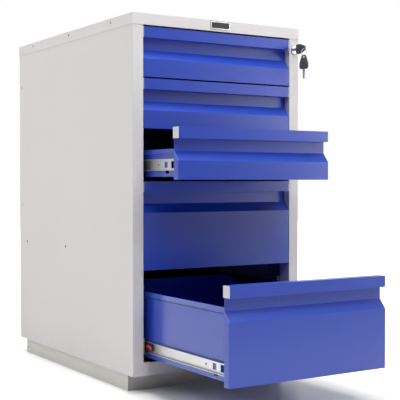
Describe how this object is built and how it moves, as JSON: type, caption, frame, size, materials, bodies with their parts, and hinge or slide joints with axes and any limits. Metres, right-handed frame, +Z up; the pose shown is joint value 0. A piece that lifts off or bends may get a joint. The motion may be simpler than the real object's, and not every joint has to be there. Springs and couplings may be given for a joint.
{
  "type": "tool cabinet",
  "caption": "Steel tool cabinet with drawers on full-extension ball slides, finger grooves along the fronts and a cam lock that drops a bar to hold the closed drawers.",
  "frame": {"origin": "on the floor, under the middle of the cabinet's body: half way between the side panels and half way between the posts' front face and the back panel", "axes": "+X to the right as seen from the front, -Y out of the drawer fronts, +Z up"},
  "size_m": [0.4608, 1.0075, 0.846],
  "materials": {
    "body_paint": "fine-textured light grey powder coat",
    "plinth_paint": "light grey powder coat",
    "zinc_steel": "bright zinc",
    "ball_cage_steel": "bright",
    "drawer_paint": "smooth semi-gloss blue powder coat",
    "cap_plastic": "matt light grey",
    "lever_plastic": "matt black",
    "screw_paint": "light grey",
    "badge_face": "satin black, plain",
    "lock_metal": "bright nickel",
    "key_steel": "nickel-plated",
    "key_plastic": "satin black"
  },
  "bodies": {
    "cabinet": {"left_side_panel": "body_paint", "right_side_panel": "body_paint", "back_panel": "body_paint", "bottom_panel": "body_paint", "top_cover": "body_paint", "header_rail": "body_paint", "plinth": "plinth_paint", "slide_uprights": "zinc_steel", "cabinet_slide_members": "zinc_steel", "cabinet_screws": "screw_paint", "badge_plate": "badge_face", "lock_housing": "lock_metal"},
    "lock_and_key": {"lock_plug": "lock_metal", "lock_cam": "zinc_steel", "key_blade": "key_steel", "key_head": "key_plastic"},
    "lock_bar": {"lock_bar": "zinc_steel"},
    "key_ring": {"key_ring": "key_steel"},
    "spare_key": {"spare_key_blade": "key_steel", "spare_key_head": "key_plastic"},
    "drawer_1": {"drawer_1_front": "drawer_paint", "drawer_1_box": "drawer_paint", "drawer_1_end_caps": "cap_plastic", "drawer_1_drawer_slide_members": "zinc_steel"},
    "drawer_1_middle": {"drawer_1_middle_slide_members": "zinc_steel"},
    "drawer_1_inner_cages": {"drawer_1_inner_ball_cages": "ball_cage_steel"},
    "drawer_1_outer_cages": {"drawer_1_outer_ball_cages": "ball_cage_steel"},
    "drawer_1_levers": {"drawer_1_release_levers": "lever_plastic"},
    "drawer_2": {"drawer_2_front": "drawer_paint", "drawer_2_box": "drawer_paint", "drawer_2_end_caps": "cap_plastic", "drawer_2_drawer_slide_members": "zinc_steel"},
    "drawer_2_middle": {"drawer_2_middle_slide_members": "zinc_steel"},
    "drawer_2_inner_cages": {"drawer_2_inner_ball_cages": "ball_cage_steel"},
    "drawer_2_outer_cages": {"drawer_2_outer_ball_cages": "ball_cage_steel"},
    "drawer_2_levers": {"drawer_2_release_levers": "lever_plastic"},
    "drawer_3": {"drawer_3_front": "drawer_paint", "drawer_3_box": "drawer_paint", "drawer_3_end_caps": "cap_plastic", "drawer_3_drawer_slide_members": "zinc_steel"},
    "drawer_3_middle": {"drawer_3_middle_slide_members": "zinc_steel"},
    "drawer_3_inner_cages": {"drawer_3_inner_ball_cages": "ball_cage_steel"},
    "drawer_3_outer_cages": {"drawer_3_outer_ball_cages": "ball_cage_steel"},
    "drawer_3_levers": {"drawer_3_release_levers": "lever_plastic"},
    "drawer_4": {"drawer_4_front": "drawer_paint", "drawer_4_box": "drawer_paint", "drawer_4_end_caps": "cap_plastic", "drawer_4_drawer_slide_members": "zinc_steel"},
    "drawer_4_middle": {"drawer_4_middle_slide_members": "zinc_steel"},
    "drawer_4_inner_cages": {"drawer_4_inner_ball_cages": "ball_cage_steel"},
    "drawer_4_outer_cages": {"drawer_4_outer_ball_cages": "ball_cage_steel"},
    "drawer_4_levers": {"drawer_4_release_levers": "lever_plastic"},
    "drawer_5": {"drawer_5_front": "drawer_paint", "drawer_5_box": "drawer_paint", "drawer_5_end_caps": "cap_plastic", "drawer_5_drawer_slide_members": "zinc_steel"},
    "drawer_5_middle": {"drawer_5_middle_slide_members": "zinc_steel"},
    "drawer_5_inner_cages": {"drawer_5_inner_ball_cages": "ball_cage_steel"},
    "drawer_5_outer_cages": {"drawer_5_outer_ball_cages": "ball_cage_steel"},
    "drawer_5_levers": {"drawer_5_release_levers": "lever_plastic"}
  },
  "joints": [
    {"name": "lock_turn", "type": "hinge", "parent": "cabinet", "child": "lock_and_key", "pos_m": [0.21535, -0.3325, 0.7941], "axis": [0, 1, 0], "range_deg": [-90, 0]},
    {"name": "lock_bar_slide", "type": "slide", "parent": "cabinet", "child": "lock_bar", "axis": [0, 0, 1], "range_m": [-0.0099, 0]},
    {"name": "key_ring_swing", "type": "hinge", "parent": "lock_and_key", "child": "key_ring", "pos_m": [0.21535, -0.3725, 0.7941], "axis": [1, 0, 0], "range_deg": [-15, 15]},
    {"name": "spare_key_swing", "type": "hinge", "parent": "key_ring", "child": "spare_key", "pos_m": [0.21535, -0.3725, 0.77311], "axis": [0.9397, 0.342, 0], "range_deg": [-15, 15]},
    {"name": "drawer_1_middle_slide", "type": "slide", "parent": "cabinet", "child": "drawer_1_middle", "axis": [0, -1, 0], "range_m": [0, 0.276]},
    {"name": "drawer_1_slide", "type": "slide", "parent": "drawer_1_middle", "child": "drawer_1", "axis": [0, -1, 0], "range_m": [0, 0.324]},
    {"name": "drawer_1_outer_cage_slide", "type": "slide", "parent": "cabinet", "child": "drawer_1_outer_cages", "axis": [0, -1, 0], "range_m": [0, 0.138]},
    {"name": "drawer_1_inner_cage_slide", "type": "slide", "parent": "drawer_1_middle", "child": "drawer_1_inner_cages", "axis": [0, -1, 0], "range_m": [0, 0.162]},
    {"name": "drawer_1_lever_hinge", "type": "hinge", "parent": "drawer_1", "child": "drawer_1_levers", "pos_m": [0, 0.0065, 0.7386], "axis": [1, 0, 0], "range_deg": [-5, 5], "stiffness_Nm_per_rad": 0.05},
    {"name": "drawer_2_middle_slide", "type": "slide", "parent": "cabinet", "child": "drawer_2_middle", "axis": [0, -1, 0], "range_m": [0, 0.276]},
    {"name": "drawer_2_slide", "type": "slide", "parent": "drawer_2_middle", "child": "drawer_2", "axis": [0, -1, 0], "range_m": [0, 0.324]},
    {"name": "drawer_2_outer_cage_slide", "type": "slide", "parent": "cabinet", "child": "drawer_2_outer_cages", "axis": [0, -1, 0], "range_m": [0, 0.138]},
    {"name": "drawer_2_inner_cage_slide", "type": "slide", "parent": "drawer_2_middle", "child": "drawer_2_inner_cages", "axis": [0, -1, 0], "range_m": [0, 0.162]},
    {"name": "drawer_2_lever_hinge", "type": "hinge", "parent": "drawer_2", "child": "drawer_2_levers", "pos_m": [0, 0.0065, 0.6242], "axis": [1, 0, 0], "range_deg": [-5, 5], "stiffness_Nm_per_rad": 0.05},
    {"name": "drawer_3_middle_slide", "type": "slide", "parent": "cabinet", "child": "drawer_3_middle", "axis": [0, -1, 0], "range_m": [0, 0.276]},
    {"name": "drawer_3_slide", "type": "slide", "parent": "drawer_3_middle", "child": "drawer_3", "axis": [0, -1, 0], "range_m": [-0.15, 0.174]},
    {"name": "drawer_3_outer_cage_slide", "type": "slide", "parent": "cabinet", "child": "drawer_3_outer_cages", "axis": [0, -1, 0], "range_m": [0, 0.138]},
    {"name": "drawer_3_inner_cage_slide", "type": "slide", "parent": "drawer_3_middle", "child": "drawer_3_inner_cages", "axis": [0, -1, 0], "range_m": [-0.075, 0.087]},
    {"name": "drawer_3_lever_hinge", "type": "hinge", "parent": "drawer_3", "child": "drawer_3_levers", "pos_m": [0, -0.1435, 0.5098], "axis": [1, 0, 0], "range_deg": [-5, 5], "stiffness_Nm_per_rad": 0.05},
    {"name": "drawer_4_middle_slide", "type": "slide", "parent": "cabinet", "child": "drawer_4_middle", "axis": [0, -1, 0], "range_m": [0, 0.276]},
    {"name": "drawer_4_slide", "type": "slide", "parent": "drawer_4_middle", "child": "drawer_4", "axis": [0, -1, 0], "range_m": [0, 0.324]},
    {"name": "drawer_4_outer_cage_slide", "type": "slide", "parent": "cabinet", "child": "drawer_4_outer_cages", "axis": [0, -1, 0], "range_m": [0, 0.138]},
    {"name": "drawer_4_inner_cage_slide", "type": "slide", "parent": "drawer_4_middle", "child": "drawer_4_inner_cages", "axis": [0, -1, 0], "range_m": [0, 0.162]},
    {"name": "drawer_4_lever_hinge", "type": "hinge", "parent": "drawer_4", "child": "drawer_4_levers", "pos_m": [0, 0.0065, 0.3079], "axis": [1, 0, 0], "range_deg": [-5, 5], "stiffness_Nm_per_rad": 0.05},
    {"name": "drawer_5_middle_slide", "type": "slide", "parent": "cabinet", "child": "drawer_5_middle", "axis": [0, -1, 0], "range_m": [-0.018, 0.258]},
    {"name": "drawer_5_slide", "type": "slide", "parent": "drawer_5_middle", "child": "drawer_5", "axis": [0, -1, 0], "range_m": [-0.324, 0]},
    {"name": "drawer_5_outer_cage_slide", "type": "slide", "parent": "cabinet", "child": "drawer_5_outer_cages", "axis": [0, -1, 0], "range_m": [-0.009, 0.129]},
    {"name": "drawer_5_inner_cage_slide", "type": "slide", "parent": "drawer_5_middle", "child": "drawer_5_inner_cages", "axis": [0, -1, 0], "range_m": [-0.162, 0]},
    {"name": "drawer_5_lever_hinge", "type": "hinge", "parent": "drawer_5", "child": "drawer_5_levers", "pos_m": [0, -0.3355, 0.106], "axis": [1, 0, 0], "range_deg": [-5, 5], "stiffness_Nm_per_rad": 0.05}
  ],
  "couplings": [
    {"joint": "lock_turn", "follows": "lock_bar_slide", "rad_per_m": 158.67},
    {"joint": "drawer_1_outer_cage_slide", "follows": "drawer_1_middle_slide", "ratio": 0.5},
    {"joint": "drawer_1_inner_cage_slide", "follows": "drawer_1_slide", "ratio": 0.5},
    {"joint": "drawer_2_outer_cage_slide", "follows": "drawer_2_middle_slide", "ratio": 0.5},
    {"joint": "drawer_2_inner_cage_slide", "follows": "drawer_2_slide", "ratio": 0.5},
    {"joint": "drawer_3_outer_cage_slide", "follows": "drawer_3_middle_slide", "ratio": 0.5},
    {"joint": "drawer_3_inner_cage_slide", "follows": "drawer_3_slide", "ratio": 0.5},
    {"joint": "drawer_4_outer_cage_slide", "follows": "drawer_4_middle_slide", "ratio": 0.5},
    {"joint": "drawer_4_inner_cage_slide", "follows": "drawer_4_slide", "ratio": 0.5},
    {"joint": "drawer_5_outer_cage_slide", "follows": "drawer_5_middle_slide", "ratio": 0.5},
    {"joint": "drawer_5_inner_cage_slide", "follows": "drawer_5_slide", "ratio": 0.5}
  ]
}
